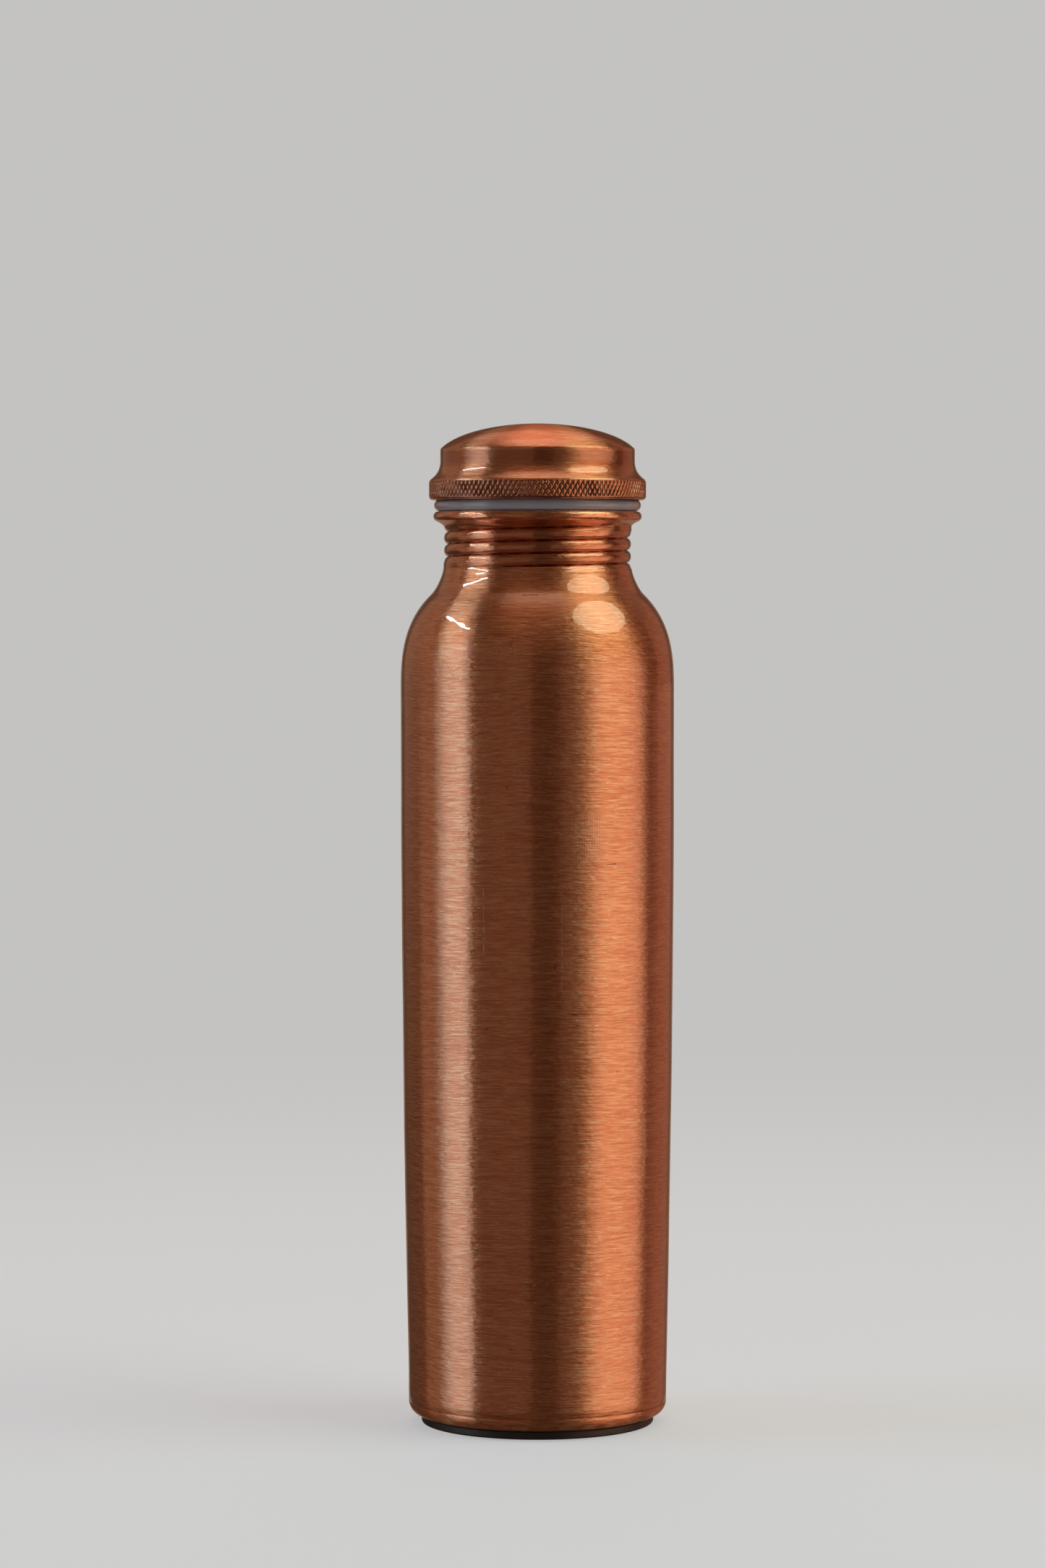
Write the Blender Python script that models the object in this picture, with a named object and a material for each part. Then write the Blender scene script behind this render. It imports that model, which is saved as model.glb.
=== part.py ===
"""A copper water bottle with a screw cap, in metres, +Z up, standing on z = 0.

The body is one sheet of copper, drawn in at the shoulder. Its thread is rolled into the neck, so it
shows outside as a groove and inside as a ridge. The cap is a pressed shell crimped round the flange of
a threaded sleeve, and the sleeve screws into the neck. A silicone ring seals the mouth.

Every piece is a turned shape, and all of them share the Z axis. The thread is right-handed.
"""

import math

import bmesh
import bpy

# Driving dimensions
SEGMENTS = 48
COPPER = 0.0007  # sheet thickness
FIT_GAP = 0.0001  # between pieces that are fixed or pressed together

PAD_RADIUS = 0.0310
PAD_THICKNESS = 0.0021
PAD_ROUNDING = 0.0006

BASE_HEIGHT = PAD_THICKNESS + 2 * FIT_GAP  # the copper base's underside
BASE_CORNER = 0.0035
FOOT_RADIUS = 0.0344
SEAM_HEIGHT = BASE_HEIGHT + BASE_CORNER
SPIGOT_LENGTH = 0.0035  # the base's rim that stands inside the wall

BODY_RADIUS = 0.0365
WIDEST_HEIGHT = 0.190
SHOULDER_HEIGHT = 0.196
BEND_RADIUS = 0.0283  # where the shoulder turns from round to hollow
BEND_HEIGHT = 0.2211
BEND_ANGLE = math.radians(46)  # from the vertical
NECK_RADIUS = 0.0250
NECK_HEIGHT = 0.2285
# How far each end of the shoulder's two curves pulls along its own direction
SHOULDER_PULL = 0.008
BEND_PULL = 0.011
NECK_PULL = 0.002

THREAD_PITCH = 0.0033
THREAD_DEPTH = 0.0011
THREAD_START = 0.22785  # height of the neck's groove at its lower end, on the -X side
THREAD_TURNS = 3.42
THREAD_FADE = 0.3  # turns over which a groove or ridge runs out
THREAD_TOP = 0.2390  # the flange's underside starts just above
RINGS_PER_PITCH = 5

MOUTH_HEIGHT = 0.24315
FLANGE_RADIUS = 0.0277
FLANGE_ROUNDING = 0.00135
FLANGE_ROOT = 0.2392  # height where the flange's sloping underside meets the neck
FLANGE_SLOPE = (0.0254, 0.2398)  # radius and height of a point on the slope
MOUTH_ROUNDING = 0.0011

SEAL_RADIUS = 0.0275
SEAL_BORE = 0.0236
SEAL_THICKNESS = 0.0035
SEAL_ROUNDING = 0.0015

# The cap's heights are above the mouth.
CURL_HEIGHT = 0.0030  # the skirt's lower edge, which is curled in under the sleeve's flange
CURL_RADIUS = 0.0276
CURL_EDGE = (0.0281, 0.0031)  # radius and height where the skirt's lower edge rounds in
SKIRT_BOTTOM = 0.0042
SKIRT_TOP = 0.0072
SKIRT_RADIUS = 0.02884
SKIRT_CORNER = (0.02873, 0.0080)
FLARE_FOOT = (0.02835, 0.0085)
FLARE_HANDLE = (0.0271, 0.0095)  # radius and height that the flare's foot points at
BAND_HANDLE = (0.02605, 0.0105)  # radius and height that the band's foot points at
BAND_BOTTOM = 0.0130
BAND_RADIUS = 0.02585
BAND_TOP = 0.01648
DOME_RADIUS = 0.0272  # of the ellipse that the dome is part of
DOME_RISE = 0.0099

MALE_DEPTH = 0.0010
MALE_CLEARANCE = 0.00045  # of the male thread's crest, inside the neck
PLUG_DEPTH = 0.0127  # below the mouth
PLUG_SHEET = 0.0006
PLUG_FLANGE_RADIUS = 0.0279
PLUG_LEAD = 0.0007  # plain stretch at the plug's lower end
PLUG_BEVEL = 0.0003
MALE_START_TURNS = 1.5  # above the neck's groove: the half turn puts the ridge midway between its passes
MALE_TURNS = 2.5
MALE_TOP = -0.0004
END_DISC_RECESS = 0.0010
END_DISC_ROUNDING = 0.0003

# Heights and radii that follow from them
NECK_BORE = NECK_RADIUS - COPPER
MALE_ROOT = NECK_BORE - MALE_CLEARANCE - MALE_DEPTH
PLUG_BORE = MALE_ROOT - PLUG_SHEET
FLANGE_BOTTOM = SEAL_THICKNESS + 2 * FIT_GAP


def arc(centre, radius, start, end, steps):
    """Points (r, z) on an arc, with angles in degrees from the +r direction."""
    points = []
    for i in range(steps + 1):
        angle = math.radians(start + (end - start) * i / steps)
        points.append((centre[0] + radius * math.cos(angle), centre[1] + radius * math.sin(angle)))
    return points


def bezier(start, start_handle, end_handle, end, steps):
    """Points on a cubic curve, without its first point."""
    points = []
    for i in range(1, steps + 1):
        t = i / steps
        weights = ((1 - t) ** 3, 3 * t * (1 - t) ** 2, 3 * t * t * (1 - t), t**3)
        corners = (start, start_handle, end_handle, end)
        points.append(tuple(sum(w * p[k] for w, p in zip(weights, corners)) for k in (0, 1)))
    return points


def thread_share(angle, height, start_height, start_angle, turns):
    """How deep a right-handed helical groove is at a place, from 0 to 1 at its middle."""
    rise = (height - start_height) / THREAD_PITCH
    around = (angle - start_angle) / math.tau
    along = around + round(rise - around)
    fade = min(along, turns - along) / THREAD_FADE
    fade = max(0.0, min(1.0, fade))
    return fade * fade * (3 - 2 * fade) * math.cos(math.pi * (rise - along)) ** 2


def rolled_neck(radius, height, angle):
    """The neck's sheet is pushed in along the thread, on both of its faces."""
    if height < THREAD_START - THREAD_PITCH or height > MOUTH_HEIGHT - FLANGE_ROUNDING:
        return radius
    share = thread_share(angle, height, THREAD_START, -math.pi, THREAD_TURNS)
    return radius - THREAD_DEPTH * share


def male_thread(radius, height, angle):
    """The sleeve's ridge, at a height above the mouth."""
    if abs(radius - MALE_ROOT) > FIT_GAP:
        return radius
    start = THREAD_START - MOUTH_HEIGHT + MALE_START_TURNS * THREAD_PITCH
    share = thread_share(angle, height, start, -math.pi, MALE_TURNS)
    return radius + MALE_DEPTH * share


def heights(bottom, top):
    """Ring heights along a threaded stretch."""
    count = math.ceil((top - bottom) * RINGS_PER_PITCH / THREAD_PITCH)
    return [bottom + (top - bottom) * i / count for i in range(count + 1)]


def turned(name, outline, material, relief=None, parent=None):
    """Turns an outline of (r, z) points about Z into one closed object.

    The outline runs round the section with the solid on its left. It is a loop, or it starts and ends
    on the axis. relief(r, z, angle) gives a point's radius where the piece isn't round.
    """
    mesh = bmesh.new()
    rings = []
    for radius, height in outline:
        if radius == 0:
            rings.append([mesh.verts.new((0, 0, height))])
            continue
        ring = []
        for i in range(SEGMENTS):
            angle = math.tau * i / SEGMENTS
            r = relief(radius, height, angle) if relief else radius
            ring.append(mesh.verts.new((r * math.cos(angle), r * math.sin(angle), height)))
        rings.append(ring)
    pairs = list(zip(rings, rings[1:]))
    if len(rings[0]) > 1:
        pairs.append((rings[-1], rings[0]))
    for lower, upper in pairs:
        for i in range(SEGMENTS):
            j = (i + 1) % SEGMENTS
            if len(lower) == 1:
                mesh.faces.new((lower[0], upper[j], upper[i]))
            elif len(upper) == 1:
                mesh.faces.new((lower[i], lower[j], upper[0]))
            else:
                mesh.faces.new((lower[i], lower[j], upper[j], upper[i]))
    data = bpy.data.meshes.new(name)
    mesh.to_mesh(data)
    mesh.free()
    data.shade_smooth()
    data.set_sharp_from_angle(angle=math.radians(35))
    data.materials.append(material)
    obj = bpy.data.objects.new(name, data)
    obj.parent = parent
    bpy.context.scene.collection.objects.link(obj)
    return obj


def material(name, colour, roughness, metallic, transmission=0.0):
    made = bpy.data.materials.new(name)
    made.use_nodes = True
    shader = made.node_tree.nodes["Principled BSDF"]
    shader.inputs["Base Color"].default_value = (*colour, 1)
    shader.inputs["Roughness"].default_value = roughness
    shader.inputs["Metallic"].default_value = metallic
    shader.inputs["Transmission Weight"].default_value = transmission
    made.diffuse_color = (*colour, 1)
    return made


def wall_radius(height):
    """The wall narrows slowly towards the foot."""
    t = min(1.0, (height - SEAM_HEIGHT) / (WIDEST_HEIGHT - SEAM_HEIGHT))
    return FOOT_RADIUS + (BODY_RADIUS - FOOT_RADIUS) * (1 - (1 - t) ** 2)


def body_side(inset):
    """The body's profile from the seam up to the neck's thread, this far inside its outer face."""
    points = []
    bottom, steps = SEAM_HEIGHT + FIT_GAP, 4
    for i in range(steps + 1):
        height = bottom + (SHOULDER_HEIGHT - bottom) * i / steps
        points.append((wall_radius(height) - inset, height))
    across, up = math.sin(BEND_ANGLE), math.cos(BEND_ANGLE)
    # The inset is square to the sheet, so at the bend it goes down as well as in.
    top = (BODY_RADIUS - inset, SHOULDER_HEIGHT)
    bend = (BEND_RADIUS - inset * up, BEND_HEIGHT - inset * across)
    neck = (NECK_RADIUS - inset, NECK_HEIGHT)
    below_bend = (bend[0] + BEND_PULL * across, bend[1] - BEND_PULL * up)
    above_bend = (bend[0] - NECK_PULL * across, bend[1] + NECK_PULL * up)
    points += bezier(top, (top[0], top[1] + SHOULDER_PULL), below_bend, bend, 5)
    points += bezier(bend, above_bend, (neck[0], neck[1] - NECK_PULL), neck, 5)
    return points


def body_outline():
    outer = body_side(0)
    inner = body_side(COPPER)
    for side, radius in ((outer, NECK_RADIUS), (inner, NECK_BORE)):
        side += [(radius, z) for z in heights(NECK_HEIGHT, THREAD_TOP)[1:]]
    rim_centre = (FLANGE_RADIUS - FLANGE_ROUNDING, MOUTH_HEIGHT - FLANGE_ROUNDING)
    flange = [(NECK_RADIUS, FLANGE_ROOT), FLANGE_SLOPE]
    flange += arc(rim_centre, FLANGE_ROUNDING, -65, 90, 5)
    mouth_centre = (NECK_BORE + MOUTH_ROUNDING, MOUTH_HEIGHT - MOUTH_ROUNDING)
    mouth = arc(mouth_centre, MOUTH_ROUNDING, 90, 180, 3)
    return outer + flange + mouth + inner[::-1]


def base_outline():
    """A shallow cup with a round corner, whose rim steps in to stand inside the wall."""
    centre = (FOOT_RADIUS - BASE_CORNER, SEAM_HEIGHT)
    spigot = FOOT_RADIUS - COPPER - FIT_GAP
    bore = spigot - COPPER
    top = SEAM_HEIGHT + SPIGOT_LENGTH
    inner_corner = bore - centre[0]
    points = [(0, BASE_HEIGHT)]
    points += arc(centre, BASE_CORNER, -90, 0, 4)
    points += [(spigot, SEAM_HEIGHT), (spigot, top), (bore, top)]
    points += arc(centre, inner_corner, 0, -90, 3)
    points.append((0, SEAM_HEIGHT - inner_corner))
    return points


def pad_outline():
    edge = PAD_RADIUS - PAD_ROUNDING
    top_edge = arc((edge, PAD_THICKNESS - PAD_ROUNDING), PAD_ROUNDING, 0, 90, 3)
    return [(0, 0), (edge, 0), (PAD_RADIUS, PAD_ROUNDING), *top_edge, (0, PAD_THICKNESS)]


def seal_outline():
    """A flat ring with a round outer edge, above the mouth."""
    bottom, top = FIT_GAP, FIT_GAP + SEAL_THICKNESS
    across = SEAL_RADIUS - SEAL_ROUNDING
    points = [(SEAL_BORE, bottom)]
    points += arc((across, bottom + SEAL_ROUNDING), SEAL_ROUNDING, -90, 0, 3)
    points += arc((across, top - SEAL_ROUNDING), SEAL_ROUNDING, 0, 90, 3)
    points.append((SEAL_BORE, top))
    return points


def dome(inset, steps):
    """The dome's points from the band up to the axis, on an ellipse this far inside its outer face."""
    points = []
    for i in range(steps + 1):
        share = 1 - i / steps
        rise = math.sqrt(1 - (share * BAND_RADIUS / DOME_RADIUS) ** 2)
        edge_rise = math.sqrt(1 - (BAND_RADIUS / DOME_RADIUS) ** 2)
        height = BAND_TOP - inset + DOME_RISE * (rise - edge_rise)
        points.append((share * (BAND_RADIUS - inset), height))
    return points


def flare(inset, steps):
    """The flare from the skirt's corner up to the band, this far inside its outer face."""
    slope = math.atan2(FLARE_HANDLE[1] - FLARE_FOOT[1], FLARE_FOOT[0] - FLARE_HANDLE[0])
    across, down = inset * math.sin(slope), inset * math.cos(slope)
    foot = (FLARE_FOOT[0] - across, FLARE_FOOT[1] - down)
    handle = (FLARE_HANDLE[0] - across, FLARE_HANDLE[1] - down)
    band_handle = (BAND_HANDLE[0] - inset, BAND_HANDLE[1])
    return [foot, *bezier(foot, handle, band_handle, (BAND_RADIUS - inset, BAND_BOTTOM), steps)]


def cap_outline():
    """The cap's sheet, from the axis out along its inner face and back along its outer one."""
    curl_top = FLANGE_BOTTOM - FIT_GAP
    skirt_bore = SKIRT_RADIUS - COPPER
    inner = dome(COPPER, 4)[::-1] + flare(COPPER, 4)[::-1]
    inner += [(skirt_bore, SKIRT_TOP), (skirt_bore, curl_top), (CURL_RADIUS, curl_top)]
    outer = [(CURL_RADIUS, CURL_HEIGHT), CURL_EDGE]
    outer += [(SKIRT_RADIUS, SKIRT_BOTTOM), (SKIRT_RADIUS, SKIRT_TOP), SKIRT_CORNER]
    outer += flare(0, 4) + dome(0, 6)
    return inner + outer


def sleeve_outline():
    """The threaded sleeve, from its lower end up to the flange that the cap's skirt is crimped round."""
    bottom = -PLUG_DEPTH
    points = [(PLUG_BORE, bottom), (MALE_ROOT - PLUG_BEVEL, bottom)]
    points += [(MALE_ROOT, z) for z in heights(bottom + PLUG_LEAD, MALE_TOP)]
    points.append((MALE_ROOT, FLANGE_BOTTOM))
    points += [(PLUG_FLANGE_RADIUS, FLANGE_BOTTOM), (PLUG_FLANGE_RADIUS, FLANGE_BOTTOM + PLUG_SHEET)]
    points.append((PLUG_BORE, FLANGE_BOTTOM + PLUG_SHEET))
    return points


def end_disc_outline():
    bottom = -PLUG_DEPTH + END_DISC_RECESS
    radius = PLUG_BORE - FIT_GAP
    return [
        (0, bottom),
        (radius - END_DISC_ROUNDING, bottom),
        (radius, bottom + END_DISC_ROUNDING),
        (radius, bottom + COPPER),
        (0, bottom + COPPER),
    ]


def axis_empty(name, parent=None):
    """An empty on the bottle's axis at the mouth, which the pieces that move hang on."""
    empty = bpy.data.objects.new(name, None)
    empty.empty_display_type = "SINGLE_ARROW"
    empty.empty_display_size = 0.02
    empty.parent = parent
    if not parent:
        empty.location = (0, 0, MOUTH_HEIGHT)
    bpy.context.scene.collection.objects.link(empty)
    return empty


def main():
    for obj in list(bpy.data.objects):
        bpy.data.objects.remove(obj)

    copper = material("brushed_copper", (0.80, 0.36, 0.20), 0.28, 1.0)
    plug_copper = material("plug_copper", (0.78, 0.34, 0.19), 0.35, 1.0)
    silicone = material("silicone", (0.72, 0.72, 0.70), 0.25, 0.0, 0.3)
    rubber = material("black_rubber", (0.012, 0.012, 0.012), 0.35, 0.0)

    turned("body_shell", body_outline(), copper, rolled_neck)
    turned("base_cap", base_outline(), copper)
    turned("base_pad", pad_outline(), rubber)

    rise_axis = axis_empty("cap_rise_axis")
    turn_axis = axis_empty("cap_turn_axis", rise_axis)
    turned("seal_ring", seal_outline(), silicone, parent=rise_axis)
    turned("cap_shell", cap_outline(), copper, parent=turn_axis)
    turned("plug_sleeve", sleeve_outline(), plug_copper, male_thread, turn_axis)
    turned("plug_end_disc", end_disc_outline(), plug_copper, parent=turn_axis)


main()
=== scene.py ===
"""The looks of the copper water bottle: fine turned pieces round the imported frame, their procedural
materials, a pale studio floor, soft lights and the camera. Lengths are in metres, and Z is the
bottle's axis. The front is towards -Y."""

import math

import bpy
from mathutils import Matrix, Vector, noise


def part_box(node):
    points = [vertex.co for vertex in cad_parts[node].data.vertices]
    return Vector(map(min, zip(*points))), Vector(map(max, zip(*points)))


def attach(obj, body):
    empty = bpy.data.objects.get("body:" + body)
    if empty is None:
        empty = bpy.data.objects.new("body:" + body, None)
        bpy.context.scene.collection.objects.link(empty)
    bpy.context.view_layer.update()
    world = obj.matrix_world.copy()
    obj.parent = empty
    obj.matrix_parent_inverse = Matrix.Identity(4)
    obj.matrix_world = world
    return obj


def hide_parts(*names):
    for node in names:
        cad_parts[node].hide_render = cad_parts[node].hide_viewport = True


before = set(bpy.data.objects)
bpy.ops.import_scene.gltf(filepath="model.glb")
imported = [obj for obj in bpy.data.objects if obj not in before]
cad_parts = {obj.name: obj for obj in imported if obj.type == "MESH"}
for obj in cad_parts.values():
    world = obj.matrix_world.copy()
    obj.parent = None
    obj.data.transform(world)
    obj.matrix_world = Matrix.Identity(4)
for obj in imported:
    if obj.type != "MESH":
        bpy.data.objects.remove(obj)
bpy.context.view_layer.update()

# Heights and radii that the frame gives
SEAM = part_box("body_shell")[0].z
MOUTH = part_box("body_shell")[1].z
BODY_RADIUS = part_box("body_shell")[1].x
FOOT_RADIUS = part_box("base_cap")[1].x
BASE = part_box("base_cap")[0].z
SPIGOT_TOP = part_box("base_cap")[1].z
PAD_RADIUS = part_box("base_pad")[1].x
SEAL_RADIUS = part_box("seal_ring")[1].x
CAP_LOW, CAP_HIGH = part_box("cap_shell")
SLEEVE_LOW, SLEEVE_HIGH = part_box("plug_sleeve")
DISC_LOW, DISC_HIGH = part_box("plug_end_disc")
TOUCH = 0.00002  # the gap left between pieces that touch

# The body's outline
SHEET = 0.0007
WIDEST_HEIGHT = 0.190
SHOULDER_HEIGHT = 0.196
BEND = (0.0283, 0.2211)  # radius and height where the shoulder turns from round to hollow
BEND_ANGLE = math.radians(46)
SHOULDER_PULL, BEND_PULL, NECK_PULL = 0.008, 0.011, 0.002
NECK_RADIUS = 0.0250
NECK_HEIGHT = 0.2285
THREAD_TOP = 0.2390
FLANGE_RADIUS = 0.0277
FLANGE_ROUNDING = 0.00135
FLANGE_UNDERSIDE = -65  # degrees, where the rim's arc meets the slope below it
MOUTH_ROUNDING = 0.0011
BASE_CORNER = 0.0035
EDGE = 0.00012  # rounding of a cut sheet's edge
DENT = 0.00024  # how far the wall strays from a true curve

# The threads, right-handed
PITCH = 0.0033
THREAD_START = 0.22785
NECK_THREAD = {"start": THREAD_START, "turns": 3.42, "depth": 0.00125}
# The half turn puts the sleeve's ridge midway between the neck's grooves
SLEEVE_THREAD = {"start": THREAD_START + 1.5 * PITCH, "turns": 2.5, "depth": 0.0010}
FADE_IN, FADE_OUT = 0.3, 0.12  # in turns, at a thread's lower and upper ends
INNER_DEPTH = 0.0010  # of the groove on the neck's inner face
ROLL_DROP = 0.00015  # how far the rolls' crests lie under the plain neck
ROLLS_END = THREAD_TOP + 0.0018  # height where the rolls have run out under the flange
ROLLS_RUNOUT = 0.0014

# The seal and the sleeve
SEAL_BORE = 0.0236
SEAL_HEIGHT = 0.0037  # from the mouth to the sleeve's flange
SEAL_ROUNDING = 0.00158
SEAL_EDGE = 0.0003
SLEEVE_ROOT = 0.02285
SLEEVE_SHEET = 0.0006

# The cap, with heights above the mouth
SKIRT_RADIUS = CAP_HIGH.x
CURL_EDGE = 0.0279  # radius
SKIRT_BOTTOM, SKIRT_TOP = 0.0042, 0.0072
CURL_RADIUS = 0.0276
FLARE_FOOT = (0.02835, 0.0085)
FLARE_HANDLE = (0.0271, 0.0095)
BAND_HANDLE = (0.02605, 0.0105)
BAND_BOTTOM, BAND_TOP = 0.0130, 0.01648
BAND_RADIUS = 0.02585
BAND_EDGE = 0.0009
DOME_RADIUS, DOME_RISE = 0.0272, 0.0099
KNURL_TEETH = 125
KNURL_DEPTH = 0.00034
KNURL_LEAN = 0.60  # tangent of a groove's angle from the vertical
KNURL_LOW, KNURL_HIGH = SKIRT_BOTTOM - 0.0007, SKIRT_TOP + 0.0008
KNURL_INSIDE = 0.0006  # deeper than this in the skirt, a point isn't on its outer face
LOW_RUNOUT, HIGH_RUNOUT = 0.0004, 0.0005  # heights over which the knurl runs out

# How finely the pieces are made
SIDES = 250
KNURL_SIDES = 5 * SIDES
KNURL_SPACING = 0.00013
SHARP_ANGLE = math.radians(50)

# Copper, what is on it, and the shade and glints painted on it, as linear colours
PALE_COPPER, DEEP_COPPER = (0.92, 0.375, 0.185), (0.86, 0.325, 0.150)
DARK_LINES, BRIGHT_LINES = (0.50, 0.155, 0.065), (1.0, 0.64, 0.40)
PAINTED_GLINT = (1.0, 0.90, 0.72)
SKIRT_COPPER = (0.62, 0.18, 0.08)
DARKER_COPPER = (0.50, 0.17, 0.075)
# Dark copper painted into the neck's thread grooves, as shade
NECK_GROOVE_SHADE = (0.36, 0.09, 0.028)
# Near black copper painted into the knurl's cuts, as shade
KNURL_GROOVE_SHADE = (0.12, 0.032, 0.014)
DARK_MARK, STAIN_MARK, BRIGHT_WEAR_AND_SHEEN = (0.05, 0.015, 0.01), (0.50, 0.27, 0.11), (1.0, 0.70, 0.50)

# Brushed noises, whose scales are per metre, around the axis and along the section
HAIR, STREAK, RAGGED, GLINT = (230, 4800), (70, 2300), (520, 1700), (620, 4600)
HAIR_SHARE, STREAK_SHARE = 0.68, 0.32  # in the brushed lines
HAIR_BUMP, RAGGED_BUMP, LACQUER_BUMP = 0.00006, 0.00009, 0.00006

# Marks on the wall: degrees from the front, height, half width, half height, tilt and raggedness
UPPER_CRACK = (32, 0.151, 0.0020, 0.00016, 0.10, 0.0013)
LOWER_CRACK = (17, 0.112, 0.0038, 0.00014, -0.06, 0.0012)
SQUIGGLE = (-11, 0.208, 0.00016, 0.0034, 0.0, 0.0022)
SPECKS = (-40, 0.202, 0.0042, 0.0022, -0.3, 0.002)
STAIN = (60, 0.218, 0.0045, 0.0045, 0.5, 0.003)
LONG_SCRATCH = (-23, 0.136, 0.00022, 0.0135, 0.0, 0.0003)
FINE_SCRATCH = (10, 0.130, 0.00014, 0.019, 0.0, 0.0002)
# The smear is a lacquer drip, drawn bright as a painted sheen
SMEAR_SHEEN = (52, 0.075, 0.0010, 0.0105, 0.0, 0.0012)
CHATTER = (20, 0.158, 0.0065, 0.0090, 0.1, 0.003)
CHATTER_PITCH = 0.0007

# The studio, with linear colours and radiances
BACKDROP = (0.55, 0.545, 0.54)
FLOOR = (0.42, 0.59, 0.80)  # cool, which balances the warm lights
FLOOR_GLOW = (0.40, 0.395, 0.39)
WINDOW = (0.85, 0.95, 1.0)  # cool daylight
NEUTRAL = (1.0, 1.0, 1.0)
CREAM = (1.0, 0.95, 0.65)
LAMP = (1.0, 0.60, 0.40)
EMBER = (1.0, 0.40, 0.25)  # lamp light that has met copper before
ROOM = (0.07, 0.04, 0.025)
RIM, GLOW = 0.2, 0.1  # radiances of the dim panels
LIGHT_DISTANCE = 1.6
LIGHT_CENTRE = 0.17  # the height that the lights face
FLOOR_RADIUS = 4
FADE_START, FADE_END = 0.35, 1.3  # radii between which the floor turns into the backdrop

# The camera
CAMERA_PLACE = (-0.0040, -1.329, 0.2253)
CAMERA_PITCH = -2.357  # degrees from the horizontal
CAMERA_LENS = 114.6
SENSOR_WIDTH = 36


# ---------------------------------------------------------------- outlines


def arc(centre, radius, start, end, steps):
    """Points (r, z) on an arc, with angles in degrees from the +r direction."""
    points = []
    for i in range(steps + 1):
        angle = math.radians(start + (end - start) * i / steps)
        points.append((centre[0] + radius * math.cos(angle), centre[1] + radius * math.sin(angle)))
    return points


def bezier(start, start_handle, end_handle, end, steps):
    """Points on a cubic curve, without its first point."""
    points = []
    for i in range(1, steps + 1):
        t = i / steps
        weights = ((1 - t) ** 3, 3 * t * (1 - t) ** 2, 3 * t * t * (1 - t), t**3)
        corners = (start, start_handle, end_handle, end)
        points.append(tuple(sum(w * p[k] for w, p in zip(weights, corners)) for k in (0, 1)))
    return points


def line(start, end, spacing):
    """Points on a straight stretch, without its first point."""
    steps = max(1, math.ceil(math.dist(start, end) / spacing))
    return [tuple(a + (b - a) * i / steps for a, b in zip(start, end)) for i in range(1, steps + 1)]


def smooth(value):
    value = max(0.0, min(1.0, value))
    return value * value * (3 - 2 * value)


def thread_place(angle, height, thread):
    """Where a place is on a helix: how many turns along it, and how many pitches above it."""
    rise = (height - thread["start"]) / PITCH
    around = (angle + math.pi) / math.tau
    along = around + round(rise - around)
    return along, rise - along


def thread_fade(along, thread):
    return smooth(along / FADE_IN) * smooth((thread["turns"] - along) / FADE_OUT)


def dented_wall(radius, height, angle):
    """Rolled sheet is never quite true: the wall sinks a little here and there."""
    x, y = math.cos(angle), math.sin(angle)
    slow = noise.noise(Vector((1.3 * x, 1.3 * y, height * 22)))
    quick = noise.noise(Vector((3.1 * x, 3.1 * y, height * 60 + 7)))
    ends = smooth((height - SEAM) / 0.01) * smooth((NECK_HEIGHT - height) / 0.02)
    return radius - DENT * ends * (0.5 + 0.4 * slow + 0.15 * quick)


def rolled_neck(radius, height, angle):
    """The neck is a row of round rolls, pushed in to a narrow V along the groove."""
    if not NECK_THREAD["start"] - PITCH < height < MOUTH - FLANGE_ROUNDING:
        return radius
    along, above = thread_place(angle, height, NECK_THREAD)
    from_roll = 1 - 2 * abs(above)
    roll = math.sqrt(1 - from_roll**2)
    depth = NECK_THREAD["depth"] if radius > NECK_RADIUS - SHEET / 2 else INNER_DEPTH
    below_flange = smooth((ROLLS_END - height) / ROLLS_RUNOUT)
    return radius - thread_fade(along, NECK_THREAD) * below_flange * (ROLL_DROP + depth * (1 - roll))


def body_relief(radius, height, angle):
    return rolled_neck(dented_wall(radius, height, angle), height, angle)


def sleeve_relief(radius, height, angle):
    """The sleeve's rolled ridge, which lies in the neck's wide turns."""
    if abs(radius - SLEEVE_ROOT) > TOUCH:
        return radius
    along, above = thread_place(angle, height, SLEEVE_THREAD)
    ridge = (1 - (2 * abs(above)) ** 2) ** 1.5
    return radius + SLEEVE_THREAD["depth"] * thread_fade(along, SLEEVE_THREAD) * ridge


def knurl_relief(radius, height, angle):
    """Two crossing sets of V grooves round the skirt, of which one is cut less evenly."""
    above = height - MOUTH
    if radius < SKIRT_RADIUS - KNURL_INSIDE or not KNURL_LOW < above < KNURL_HIGH:
        return radius
    ends = smooth((above - KNURL_LOW) / LOW_RUNOUT) * smooth((KNURL_HIGH - above) / HIGH_RUNOUT)
    tooth = math.tau * SKIRT_RADIUS / KNURL_TEETH
    turn, rise = angle / math.tau * KNURL_TEETH, KNURL_LEAN * above / tooth
    x, y = math.cos(angle), math.sin(angle)
    uneven = 0.62 + 1.1 * noise.noise(Vector((2.2 * x, 2.2 * y, 3)))
    rough = 0.9 + 0.5 * noise.noise(Vector((9 * x, 9 * y, above * 400)))
    groove = 0
    for place, share in ((turn - rise, 1.0), (turn + rise, max(0.15, min(1.0, uneven)))):
        groove = max(groove, share * (0.5 + 0.5 * math.cos(math.tau * place)) ** 4)
    return radius - KNURL_DEPTH * ends * rough * groove


# ---------------------------------------------------------------- pieces


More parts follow.
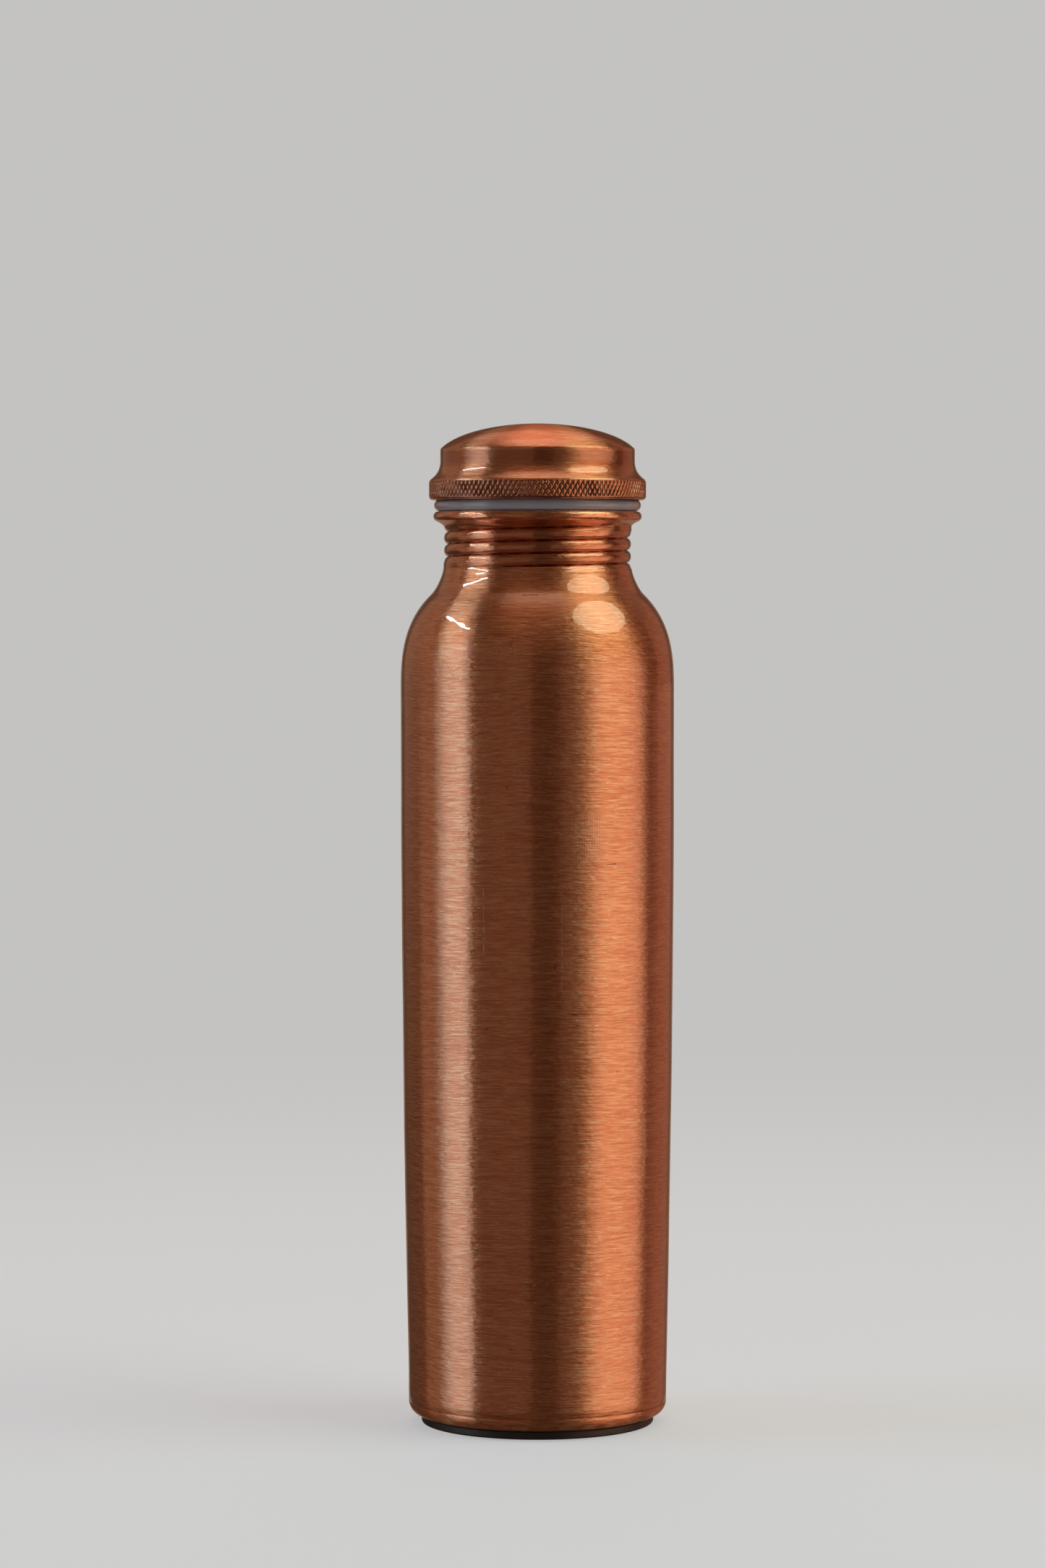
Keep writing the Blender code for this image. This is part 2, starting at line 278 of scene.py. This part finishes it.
def turned(name, outline, relief=None):
    """Turns an outline about Z into one closed mesh.

    Its points are (r, z), or (r, z, sides) where a ring needs more sides. It runs with the solid on
    its left, either as a loop or from the axis back to the axis. relief(r, z, angle) gives the radius
    of a point where the piece isn't round.
    """
    points, rings = [], []
    for radius, height, *more in outline:
        count = 1 if radius == 0 else (more[0] if more else SIDES)
        rings.append(range(len(points), len(points) + count))
        for i in range(count):
            angle = math.tau * i / count - math.pi / 2
            r = relief(radius, height, angle) if relief and radius else radius
            points.append((r * math.cos(angle), r * math.sin(angle), height))
    pairs = list(zip(rings, rings[1:]))
    if len(rings[0]) > 1:
        pairs.append((rings[-1], rings[0]))
    faces = []
    for first, second in pairs:
        shared = max(1, min(n for n in (len(first), len(second)) if n > 1))
        for i in range(shared):
            faces.append(ring_share(first, shared, i) + ring_share(second, shared, i)[::-1])
    mesh = bpy.data.meshes.new(name)
    mesh.from_pydata(points, [], faces)
    mesh.validate()
    mesh.shade_smooth()
    mesh.set_sharp_from_angle(angle=SHARP_ANGLE)
    piece = bpy.data.objects.new(name, mesh)
    bpy.context.scene.collection.objects.link(piece)
    return piece


def ring_share(ring, shares, i):
    """The corners of one share of a ring, both ends included."""
    if len(ring) == 1:
        return [ring[0]]
    step = len(ring) // shares
    return [ring[(i * step + k) % len(ring)] for k in range(step + 1)]


def wall_radius(height):
    """The wall narrows slowly towards the foot."""
    t = min(1.0, (height - SEAM) / (WIDEST_HEIGHT - SEAM))
    return FOOT_RADIUS + (BODY_RADIUS - FOOT_RADIUS) * (1 - (1 - t) ** 2)


def body_side(inset, wall_spacing, curve_steps, thread_spacing):
    """The body's profile from the seam up to the plain neck, this far inside its outer face."""
    across, up = math.sin(BEND_ANGLE), math.cos(BEND_ANGLE)
    top = (BODY_RADIUS - inset, SHOULDER_HEIGHT)
    bend = (BEND[0] - inset * up, BEND[1] - inset * across)
    neck = (NECK_RADIUS - inset, NECK_HEIGHT)
    below_bend = (bend[0] + BEND_PULL * across, bend[1] - BEND_PULL * up)
    above_bend = (bend[0] - NECK_PULL * across, bend[1] + NECK_PULL * up)
    first = (0, SEAM + EDGE)
    wall = [first, *line(first, (0, SHOULDER_HEIGHT), wall_spacing)]
    points = [(wall_radius(z) - inset, z) for _, z in wall]
    points += bezier(top, (top[0], top[1] + SHOULDER_PULL), below_bend, bend, curve_steps)
    points += bezier(bend, above_bend, (neck[0], neck[1] - NECK_PULL), neck, curve_steps)
    points += line(neck, (neck[0], THREAD_TOP), thread_spacing)
    return points


def body():
    outer = body_side(0, wall_spacing=0.0025, curve_steps=36, thread_spacing=0.00012)
    inner = body_side(SHEET, wall_spacing=0.008, curve_steps=24, thread_spacing=0.00025)
    rim_centre = (FLANGE_RADIUS - FLANGE_ROUNDING, MOUTH - FLANGE_ROUNDING)
    rim = arc(rim_centre, FLANGE_ROUNDING, FLANGE_UNDERSIDE, 90, 18)
    neck_top = outer[-1]
    neck_handle = (neck_top[0], neck_top[1] + 0.0007)
    rim_handle = (rim[0][0] - 0.0008, rim[0][1] - 0.0004)
    underside = bezier(neck_top, neck_handle, rim_handle, rim[0], 14)
    mouth_centre = (NECK_RADIUS - SHEET + MOUTH_ROUNDING, MOUTH - MOUTH_ROUNDING)
    mouth = arc(mouth_centre, MOUTH_ROUNDING, 90, 180, 9)
    foot = [(inner[0][0], SEAM), (outer[0][0] - EDGE, SEAM)]
    outline = outer + underside + rim[1:] + mouth + inner[::-1] + foot
    return turned("bottle_body", outline, body_relief)


def base():
    """The pressed base, with the rim that stands inside the wall."""
    rim = SEAM - TOUCH
    centre = (FOOT_RADIUS - BASE_CORNER, BASE + BASE_CORNER)
    spigot = FOOT_RADIUS - SHEET - 0.0001
    bore = spigot - SHEET
    corner = bore - centre[0]
    points = [(0, BASE), *line((0, BASE), (centre[0], BASE), 0.006)[:-1]]
    points += arc(centre, BASE_CORNER, -90, 0, 18)
    points += [(FOOT_RADIUS, rim - EDGE), (FOOT_RADIUS - EDGE, rim)]
    points += [(spigot, rim), (spigot, SPIGOT_TOP - EDGE), (spigot - EDGE, SPIGOT_TOP)]
    points += [(bore + EDGE, SPIGOT_TOP), (bore, SPIGOT_TOP - EDGE)]
    points += arc(centre, corner, 0, -90, 12)
    points.append((0, centre[1] - corner))
    return turned("bottle_base", points)


def pad():
    rounding, top = 0.0006, BASE - TOUCH
    across = PAD_RADIUS - rounding
    points = [(0, 0), *line((0, 0), (across, 0), 0.006)[:-1]]
    points += arc((across, rounding), rounding, -90, 0, 6)
    points += arc((across, top - rounding), rounding, 0, 90, 6)
    points.append((0, top))
    return turned("foot_pad", points)


def seal():
    """A flat silicone ring whose outer edge is half round, squeezed between mouth and sleeve."""
    bottom, top = MOUTH + TOUCH, MOUTH + SEAL_HEIGHT - TOUCH
    across, bore = SEAL_RADIUS - SEAL_ROUNDING, SEAL_BORE + SEAL_EDGE
    points = arc((bore, bottom + SEAL_EDGE), SEAL_EDGE, 180, 270, 4)
    points += arc((across, bottom + SEAL_ROUNDING), SEAL_ROUNDING, -90, 90, 24)
    points += [(across - 0.0001, top - 0.0001), (across - 0.0002, top)]
    points += arc((bore, top - SEAL_EDGE), SEAL_EDGE, 90, 180, 4)
    return turned("silicone_seal", points)


def dome(inset, steps):
    """The dome's points from the band in to the axis."""
    points = []
    for i in range(steps + 1):
        share = 1 - (i / steps) ** 1.2
        rise = math.sqrt(1 - (share * BAND_RADIUS / DOME_RADIUS) ** 2)
        edge_rise = math.sqrt(1 - (BAND_RADIUS / DOME_RADIUS) ** 2)
        height = MOUTH + BAND_TOP - inset + DOME_RISE * (rise - edge_rise)
        points.append((share * (BAND_RADIUS - inset), height))
    return points


def flare(inset, steps):
    """The flare from the skirt's corner up to the band, this far inside its outer face."""
    slope = math.atan2(FLARE_HANDLE[1] - FLARE_FOOT[1], FLARE_FOOT[0] - FLARE_HANDLE[0])
    across, down = inset * math.sin(slope), inset * math.cos(slope)
    foot = (FLARE_FOOT[0] - across, MOUTH + FLARE_FOOT[1] - down)
    handle = (FLARE_HANDLE[0] - across, MOUTH + FLARE_HANDLE[1] - down)
    band_handle = (BAND_HANDLE[0] - inset, MOUTH + BAND_HANDLE[1])
    band_foot = (BAND_RADIUS - inset, MOUTH + BAND_BOTTOM)
    return [foot, *bezier(foot, handle, band_handle, band_foot, steps)]


def cap():
    """The cap's sheet, from the axis out along its inner face and back along its outer one."""
    curl_top = SLEEVE_HIGH.z - SLEEVE_SHEET - 0.0001
    skirt_bore = SKIRT_RADIUS - SHEET
    inner = dome(SHEET, 24)[::-1] + flare(SHEET, 12)[::-1]
    inner += [(skirt_bore, MOUTH + SKIRT_TOP), (skirt_bore, curl_top + 0.0008)]
    curled = [(skirt_bore, curl_top), (CURL_RADIUS, curl_top), (CURL_RADIUS, CAP_LOW.z + 0.0001)]
    curl_edge, skirt_foot = (CURL_EDGE, CAP_LOW.z), (SKIRT_RADIUS, MOUTH + SKIRT_BOTTOM)
    curl_handle = (SKIRT_RADIUS - 0.0002, CAP_LOW.z)
    skirt_handle = (SKIRT_RADIUS, MOUTH + SKIRT_BOTTOM - 0.0006)
    lower_edge = [curl_edge, *bezier(curl_edge, curl_handle, skirt_handle, skirt_foot, 13)]
    skirt_top = (SKIRT_RADIUS, MOUTH + SKIRT_TOP)
    skirt = line(skirt_foot, skirt_top, KNURL_SPACING)
    outer = flare(0, 24)
    corner_handle = (SKIRT_RADIUS, MOUTH + SKIRT_TOP + 0.0006)
    flare_handle = (outer[0][0] + 0.00035, outer[0][1] - 0.00028)
    corner = bezier(skirt_top, corner_handle, flare_handle, outer[0], 12)
    outer += line(outer[-1], (BAND_RADIUS, MOUTH + BAND_TOP - BAND_EDGE), 0.001)
    top = dome(0, 44)
    outer += bezier(outer[-1], top[0], top[0], top[1], 6) + top[2:]
    fine = [(r, z, KNURL_SIDES) for r, z in lower_edge + skirt + corner[:-1]]
    return turned("cap_cover", inner + curled + fine + outer, knurl_relief)


def sleeve():
    """The cap's threaded sleeve, up to the flange that the skirt is crimped round."""
    low, flange_top = SLEEVE_LOW.z, SLEEVE_HIGH.z
    flange_radius = SLEEVE_HIGH.x
    bore = SLEEVE_ROOT - SLEEVE_SHEET
    flange_low = flange_top - SLEEVE_SHEET
    points = [(bore + EDGE, low), (SLEEVE_ROOT - 0.0004, low)]
    points += [(SLEEVE_ROOT - 0.0001, low + 0.0001), (SLEEVE_ROOT, low + 0.0004)]
    points += line(points[-1], (SLEEVE_ROOT, MOUTH - 0.0003), 0.00015)
    points += [(SLEEVE_ROOT + EDGE, flange_low - EDGE), (SLEEVE_ROOT + 3 * EDGE, flange_low)]
    points += [(flange_radius - EDGE, flange_low), (flange_radius, flange_low + EDGE)]
    points += [(flange_radius, flange_top - EDGE), (flange_radius - EDGE, flange_top)]
    points += [(bore + EDGE, flange_top), (bore, flange_top - EDGE), (bore, low + EDGE)]
    return turned("cap_sleeve", points, sleeve_relief)


def end_disc():
    radius, low, top = DISC_HIGH.x, DISC_LOW.z, DISC_HIGH.z
    rounding = 0.0003
    across = radius - rounding
    points = [(0, low), *line((0, low), (across, low), 0.004)[:-1]]
    points += arc((across, low + rounding), rounding, -90, 0, 5)
    points += [(radius, top - EDGE), (radius - EDGE, top), (0, top)]
    return turned("cap_end_disc", points)


# ---------------------------------------------------------------- materials


class Tree:
    """A material's node tree, with a short call for each kind of node used here."""

    def __init__(self, name):
        self.material = bpy.data.materials.new(name)
        self.material.use_nodes = True
        self.tree = self.material.node_tree
        self.shader = self.tree.nodes["Principled BSDF"]

    def put(self, socket, value):
        if isinstance(value, bpy.types.NodeSocket):
            self.tree.links.new(value, socket)
        else:
            socket.default_value = value

    def node(self, kind, inputs=(), **settings):
        made = self.tree.nodes.new(kind)
        for key, value in settings.items():
            setattr(made, key, value)
        for key, value in dict(inputs).items():
            self.put(made.inputs[key], value)
        return made

    def math(self, operation, *values):
        return self.node("ShaderNodeMath", enumerate(values), operation=operation).outputs[0]

    def vector(self, x, y, z):
        return self.node("ShaderNodeCombineXYZ", {"X": x, "Y": y, "Z": z}).outputs[0]

    def noise(self, vector, scale, detail=2.0, roughness=0.5):
        inputs = {"Vector": vector, "Scale": scale, "Detail": detail, "Roughness": roughness}
        return self.node("ShaderNodeTexNoise", inputs).outputs["Fac"]

    def ramp(self, value, low, high, to_low=0.0, to_high=1.0):
        """A smooth step of a value between two levels."""
        inputs = {"Value": value, "From Min": low, "From Max": high, "To Min": to_low, "To Max": to_high}
        made = self.node("ShaderNodeMapRange", inputs, interpolation_type="SMOOTHSTEP")
        return made.outputs["Result"]

    def blend(self, factor, first, second):
        """Mixes two colours."""
        made = self.node("ShaderNodeMix", data_type="RGBA")
        for key, value in ((0, factor), (6, first), (7, second)):
            self.put(made.inputs[key], (*value, 1) if isinstance(value, tuple) else value)
        return made.outputs[2]

    def bump(self, height, distance, strength=1.0, normal=None):
        inputs = {"Height": height, "Distance": distance, "Strength": strength}
        if normal:
            inputs["Normal"] = normal
        return self.node("ShaderNodeBump", inputs).outputs[0]

    def set(self, **values):
        """Sets the shader's sockets, whose names are written with _ for a space."""
        for key, value in values.items():
            socket = self.shader.inputs[key.replace("_", " ")]
            self.put(socket, (*value, 1) if isinstance(value, tuple) and len(value) == 3 else value)


class TurnedTree(Tree):
    """A tree for a turned piece: its place is also given as radius and as distance along the section."""

    def __init__(self, name):
        super().__init__(name)
        self.place = self.node("ShaderNodeTexCoord").outputs["Object"]
        parts = self.node("ShaderNodeSeparateXYZ", {"Vector": self.place}).outputs
        self.x, self.y, self.z = parts
        square = self.math("ADD", self.math("POWER", self.x, 2.0), self.math("POWER", self.y, 2.0))
        self.radius = self.math("SQRT", square)
        self.along = self.math("SUBTRACT", self.z, self.radius)
        turn = self.math("ARCTAN2", self.x, self.math("MULTIPLY", self.y, -1.0))
        self.across = self.math("MULTIPLY", turn, BODY_RADIUS)

    def brushed(self, around, along, detail=2.0):
        """Noise drawn out round the axis: its scales are per metre, around and along the section."""
        x = self.math("MULTIPLY", self.x, around)
        y = self.math("MULTIPLY", self.y, around)
        z = self.math("MULTIPLY", self.along, along)
        return self.noise(self.vector(x, y, z), 1.0, detail)


def spot(t, degrees, height, width, tall, tilt=0.0, ragged=0.0):
    """A mask that is 1 inside an oval on the wall, and falls to 0 at its edge.

    Its angle is from the front, and its width and height are half sizes in metres.
    """
    u = t.math("SUBTRACT", t.across, math.radians(degrees) * BODY_RADIUS)
    v = t.math("SUBTRACT", t.z, height)
    v = t.math("MULTIPLY_ADD", u, -tilt, v)
    if ragged:
        stray = t.math("SUBTRACT", t.noise(t.place, 900, 2), 0.5)
        v = t.math("MULTIPLY_ADD", stray, ragged, v)
        u = t.math("MULTIPLY_ADD", stray, ragged, u)
    u = t.math("POWER", t.math("DIVIDE", u, width), 2.0)
    v = t.math("POWER", t.math("DIVIDE", v, tall), 2.0)
    return t.ramp(t.math("ADD", u, v), 1.0, 0.3)


def marked(t, colour):
    """Puts the wall's own marks on a colour, with a painted sheen drawn bright on the lacquer smear.
    Also returns the scratches' mask, for their roughness.
    """
    crack = t.math("ADD", spot(t, *UPPER_CRACK), spot(t, *LOWER_CRACK))
    dark = t.math("MULTIPLY_ADD", spot(t, *SQUIGGLE), 0.55, t.math("MULTIPLY", crack, 0.9))
    colour = t.blend(dark, colour, DARK_MARK)
    grains = t.ramp(t.noise(t.place, 1500, 1), 0.60, 0.68)
    specks = t.math("MULTIPLY", spot(t, *SPECKS), grains)
    few = t.ramp(t.noise(t.place, 800, 0), 0.87, 0.89)
    colour = t.blend(t.math("MULTIPLY", t.math("ADD", specks, few), 0.6), colour, DARK_MARK)
    colour = t.blend(t.math("MULTIPLY", spot(t, *STAIN), 0.4), colour, STAIN_MARK)
    broken = t.ramp(t.noise(t.vector(0.0, 0.0, t.z), 330, 2), 0.40, 0.55)
    scratches = t.math("ADD", spot(t, *LONG_SCRATCH), spot(t, *FINE_SCRATCH))
    scratches = t.math("MULTIPLY", scratches, broken)
    ribs = t.math("SINE", t.math("MULTIPLY", t.across, math.tau / CHATTER_PITCH))
    ribs = t.math("MULTIPLY", t.ramp(ribs, 0.0, 0.9), spot(t, *CHATTER))
    light = t.math("MULTIPLY_ADD", ribs, 0.45, scratches)
    # Painted sheen: the smear is drawn in the bright colour of the scratches
    light = t.math("MULTIPLY_ADD", spot(t, *SMEAR_SHEEN), 0.4, light)
    return t.blend(light, colour, BRIGHT_WEAR_AND_SHEEN), scratches


def brushed_colour(t, lines):
    """Copper with its cloudy tone, its dark and bright brushed lines, and painted glints: near white
    specks that stand in for highlights.
    """
    cloud = t.noise(t.place, 26, 4)
    colour = t.blend(t.ramp(cloud, 0.3, 0.7), DEEP_COPPER, PALE_COPPER)
    colour = t.blend(t.ramp(lines, 0.53, 0.36, 0.0, 0.64), colour, DARK_LINES)
    colour = t.blend(t.ramp(lines, 0.49, 0.62, 0.0, 0.80), colour, BRIGHT_LINES)
    # Painted highlights: glints drawn as near white colour
    glints = t.ramp(t.brushed(*GLINT, 1), 0.66, 0.74)
    return t.blend(t.math("MULTIPLY", glints, 0.8), colour, PAINTED_GLINT)


def worked_colour(t, colour, neck):
    """Darkens the cap's skirt and band and the neck's rolls, and paints shade into the knurl's cuts and
    the neck's grooves.
    """
    # Painted shade: the neck's grooves darken where the radius falls below the plain neck
    groove = t.math("MULTIPLY", neck, t.ramp(t.radius, NECK_RADIUS - 0.0003, NECK_RADIUS - 0.0011))
    above = t.math("SUBTRACT", t.z, MOUTH)
    skirt = t.math("MULTIPLY", t.ramp(above, SKIRT_BOTTOM - 0.0010, SKIRT_BOTTOM - 0.0008),
                   t.ramp(above, SKIRT_TOP + 0.0008, SKIRT_TOP + 0.0005))
    # Painted shade: the knurl's cuts turn near black where the radius falls inside the skirt
    cut = t.math("MULTIPLY", skirt, t.ramp(t.radius, SKIRT_RADIUS - 0.00003, SKIRT_RADIUS - 0.00020))
    colour = t.blend(t.math("MULTIPLY", skirt, 0.55), colour, SKIRT_COPPER)
    # The cap's band and the neck's rolls are drawn in a darker copper
    band = t.math("MULTIPLY", t.ramp(above, BAND_BOTTOM - 0.0025, BAND_BOTTOM),
                  t.ramp(above, BAND_TOP - 0.0004, BAND_TOP - 0.0010))
    rolls = t.math("MULTIPLY", neck, t.ramp(t.z, THREAD_TOP + 0.002, THREAD_TOP))
    darkened = t.math("MULTIPLY_ADD", band, 0.75, t.math("MULTIPLY", rolls, 0.45))
    colour = t.blend(darkened, colour, DARKER_COPPER)
    colour = t.blend(t.math("MULTIPLY", groove, 0.75), colour, NECK_GROOVE_SHADE)
    return t.blend(t.math("MULTIPLY", cut, 0.90), colour, KNURL_GROOVE_SHADE)


def brushed_copper(name, roughness, lacquer, marks=False):
    """Copper sheet brushed round the axis, then lacquered."""
    t = TurnedTree(name)
    wave = t.math("MULTIPLY", t.math("SUBTRACT", t.noise(t.place, 14, 2), 0.5), 0.005)
    t.along = t.math("ADD", t.along, wave)
    hair = t.brushed(*HAIR, 2)
    streak = t.brushed(*STREAK, 2)
    ragged = t.brushed(*RAGGED, 1)
    lines = t.math("ADD", t.math("MULTIPLY", hair, HAIR_SHARE), t.math("MULTIPLY", streak, STREAK_SHARE))
    neck = t.math("MULTIPLY", t.ramp(t.z, NECK_HEIGHT - 0.001, NECK_HEIGHT),
                  t.ramp(t.z, MOUTH, MOUTH - 0.0005))
    colour = worked_colour(t, brushed_colour(t, lines), neck)
    scratches = 0.0
    if marks:
        colour, scratches = marked(t, colour)
    rough = t.math("MULTIPLY_ADD", t.math("SUBTRACT", lines, 0.5), 0.2, roughness)
    rough = t.math("MULTIPLY_ADD", scratches, 0.5, rough)
    rough = t.math("MULTIPLY", rough, t.math("MULTIPLY_ADD", neck, -0.42, 1.0))
    relief = t.bump(t.math("ADD", hair, streak), HAIR_BUMP, 1.0, t.bump(ragged, RAGGED_BUMP))
    t.set(
        Base_Color=colour,
        Metallic=1.0,
        Roughness=rough,
        Anisotropic=1.0,
        Anisotropic_Rotation=0.25,
        Tangent=t.node("ShaderNodeTangent", direction_type="RADIAL", axis="Z").outputs[0],
        Normal=relief,
        Coat_Weight=lacquer,
        Coat_Roughness=0.03,
        Coat_IOR=1.8,
        Coat_Normal=t.bump(t.noise(t.place, 260, 2), LACQUER_BUMP),
    )
    return t.material


def silicone():
    t = TurnedTree("silicone")
    t.set(
        Base_Color=(0.50, 0.51, 0.58),
        Roughness=0.12,
        Transmission_Weight=0.60,
        IOR=1.42,
        Coat_Weight=1.0,
        Coat_Roughness=0.08,
        Normal=t.bump(t.noise(t.place, 500, 3), 0.00002, 0.4),
    )
    return t.material


def rubber():
    t = TurnedTree("black_rubber")
    grain = t.noise(t.place, 1500, 3)
    worn = t.ramp(t.noise(t.place, 90, 3), 0.4, 0.7)
    t.set(
        Base_Color=t.blend(worn, (0.010, 0.010, 0.011), (0.02, 0.019, 0.018)),
        Roughness=t.ramp(grain, 0.3, 0.7, 0.3, 0.5),
        Normal=t.bump(grain, 0.00003, 0.5),
    )
    return t.material


# ---------------------------------------------------------------- studio


def pale_floor():
    """A floor that fades into the backdrop's colour, and that the copper doesn't mirror."""
    bpy.ops.mesh.primitive_circle_add(vertices=96, radius=FLOOR_RADIUS, fill_type="NGON")
    floor = bpy.context.object
    floor.name = "floor"
    floor.visible_glossy = False
    floor.visible_shadow = False
    t = TurnedTree("pale_floor")
    grain = t.noise(t.place, 400, 3)
    t.set(
        Base_Color=FLOOR,
        Roughness=0.9,
        Normal=t.bump(grain, 0.0002, 0.3),
        Emission_Color=FLOOR_GLOW,
        Emission_Strength=1.0,
    )
    glow = t.node("ShaderNodeEmission", {"Color": (*BACKDROP, 1)})
    fade = t.ramp(t.radius, FADE_START, FADE_END)
    mix = t.node("ShaderNodeMixShader", {0: fade, 1: t.shader.outputs[0], 2: glow.outputs[0]})
    t.tree.links.new(mix.outputs[0], t.tree.nodes["Material Output"].inputs["Surface"])
    floor.data.materials.append(t.material)


def backdrop():
    """An even pale backdrop for the camera, and a dim warm room for everything else."""
    world = bpy.data.worlds.new("studio")
    bpy.context.scene.world = world
    world.use_nodes = True
    nodes, links = world.node_tree.nodes, world.node_tree.links
    seen = nodes["Background"]
    seen.inputs["Color"].default_value = (*BACKDROP, 1)
    room = nodes.new("ShaderNodeBackground")
    room.inputs["Color"].default_value = (*ROOM, 1)
    path = nodes.new("ShaderNodeLightPath")
    mix = nodes.new("ShaderNodeMixShader")
    links.new(path.outputs["Is Camera Ray"], mix.inputs[0])
    links.new(room.outputs[0], mix.inputs[1])
    links.new(seen.outputs[0], mix.inputs[2])
    links.new(mix.outputs[0], nodes["World Output"].inputs["Surface"])


def edge_fade(tree, place, share, high_side):
    """How bright a light is near one edge: 0 at the edge, and 1 once this share of its width is past."""
    ramp = tree.nodes.new("ShaderNodeMapRange")
    ramp.interpolation_type = "SMOOTHSTEP"
    ramp.inputs["From Min"].default_value = 1 if high_side else 0
    ramp.inputs["From Max"].default_value = 1 - share if high_side else share
    tree.links.new(place, ramp.inputs["Value"])
    return ramp.outputs[0]


def fade_edges(light, fade):
    """Lets a light fade out towards its low and high azimuth, then its low and high elevation."""
    light.use_nodes = True
    tree = light.node_tree
    place = tree.nodes.new("ShaderNodeNewGeometry")
    parts = tree.nodes.new("ShaderNodeSeparateXYZ")
    tree.links.new(place.outputs["Parametric"], parts.inputs[0])
    strength = None
    for side, share in enumerate(fade):
        if not share:
            continue
        edge = edge_fade(tree, parts.outputs[side // 2], share, side % 2)
        if strength:
            product = tree.nodes.new("ShaderNodeMath")
            product.operation = "MULTIPLY"
            tree.links.new(edge, product.inputs[0])
            tree.links.new(strength, product.inputs[1])
            edge = product.outputs[0]
        strength = edge
    tree.links.new(strength, tree.nodes["Emission"].inputs["Strength"])


def softbox(name, azimuths, elevations, radiance, colour, fade=(0, 0, 0, 0), shape="RECTANGLE"):
    """A flat light facing the bottle, which spans these angles in degrees as seen from the bottle.

    Azimuth 0 is the camera's side, and 90 is +X. fade is how much of its size its light takes to
    fade out at the low and the high azimuth, and at the low and the high elevation.
    """
    azimuth, elevation = (math.radians(sum(pair) / 2) for pair in (azimuths, elevations))
    across, up = (math.radians(pair[1] - pair[0]) for pair in (azimuths, elevations))
    width = 2 * LIGHT_DISTANCE * math.tan(across / 2) * math.cos(elevation)
    height = 2 * LIGHT_DISTANCE * math.tan(up / 2)
    light = bpy.data.lights.new(name, "AREA")
    light.shape = shape
    light.size, light.size_y = width, height
    light.energy = radiance * math.pi * width * height * (math.pi / 4 if shape == "ELLIPSE" else 1)
    light.color = colour
    if any(fade):
        fade_edges(light, fade)
    obj = bpy.data.objects.new(name, light)
    flat = LIGHT_DISTANCE * math.cos(elevation)
    rise = LIGHT_DISTANCE * math.sin(elevation)
    obj.location = (flat * math.sin(azimuth), -flat * math.cos(azimuth), LIGHT_CENTRE + rise)
    obj.rotation_euler = (math.pi / 2 - elevation, 0, azimuth)
    obj.visible_camera = False
    bpy.context.scene.collection.objects.link(obj)


SOFTBOXES = (
    # name, azimuths, elevations, radiance, colour, fades, shape
    ("left_tube", (-110, -70), (36.5, 38), 24, WINDOW, (0, 0, 0, 0)),
    ("left_box", (-100, -55), (-30, 25), 0.7, NEUTRAL, (0.5, 0.2, 0, 0.1)),
    ("left_wash", (-120, -85), (-30, 25), RIM, LAMP, (0.2, 0.5, 0, 0)),
    ("left_panel", (-55, -5), (-30, 40), GLOW, LAMP, (0, 0, 0, 0.3)),
    ("left_rear", (-160, -115), (-10, 40), RIM, LAMP, (0.3, 0, 0.3, 0)),
    ("right_key", (45, 110), (30, 65), 2.0, CREAM, (0, 0, 0, 0), "ELLIPSE"),
    ("right_box", (35, 110), (-35, 20), 1.0, LAMP, (0.35, 0.3, 0, 0.3)),
    ("right_rear", (120, 160), (-10, 40), RIM, EMBER, (0, 0.3, 0.3, 0)),
    ("right_low", (100, 165), (-35, 0), RIM, EMBER, (0.3, 0.3, 0, 0)),
    ("right_panel", (15, 40), (-30, 40), GLOW, LAMP, (0.3, 0, 0, 0.3)),
    ("rear", (160, 200), (-30, 20), RIM, LAMP, (0.1, 0.1, 0, 0.4)),
    ("rear_top", (145, 215), (30, 75), 0.8, EMBER, (0.35, 0.35, 0.3, 0.2)),
    ("top_box", (100, 260), (55, 115), 1.4, LAMP, (0.4, 0.4, 0.4, 0.4)),
)


def lights():
    for box in SOFTBOXES:
        softbox(*box)


def camera():
    data = bpy.data.cameras.new("camera")
    data.sensor_width = SENSOR_WIDTH
    data.lens = CAMERA_LENS
    obj = bpy.data.objects.new("camera", data)
    obj.location = CAMERA_PLACE
    obj.rotation_euler = (math.radians(90 + CAMERA_PITCH), 0, 0)
    bpy.context.scene.collection.objects.link(obj)
    bpy.context.scene.camera = obj


def main():
    camera()
    pale_floor()
    backdrop()
    lights()
    bpy.context.scene.view_settings.view_transform = "Standard"
    lacquered = brushed_copper("lacquered_copper", roughness=0.33, lacquer=1.0)
    worn = brushed_copper("bottle_copper", roughness=0.33, lacquer=1.0, marks=True)
    plain = brushed_copper("plug_copper", roughness=0.34, lacquer=0.0)
    pieces = (
        (body, "bottle", "body_shell", "brushed_copper", worn),
        (base, "bottle", "base_cap", "brushed_copper", worn),
        (pad, "bottle", "base_pad", "black_rubber", rubber()),
        (seal, "seal", "seal_ring", "silicone", silicone()),
        (cap, "cap", "cap_shell", "brushed_copper", lacquered),
        (sleeve, "cap", "plug_sleeve", "plug_copper", plain),
        (end_disc, "cap", "plug_end_disc", "plug_copper", plain),
    )
    for make, body_name, node, slot, material in pieces:
        piece = make()
        piece.data.materials.append(material)
        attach(piece, body_name)
        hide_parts(node)


main()
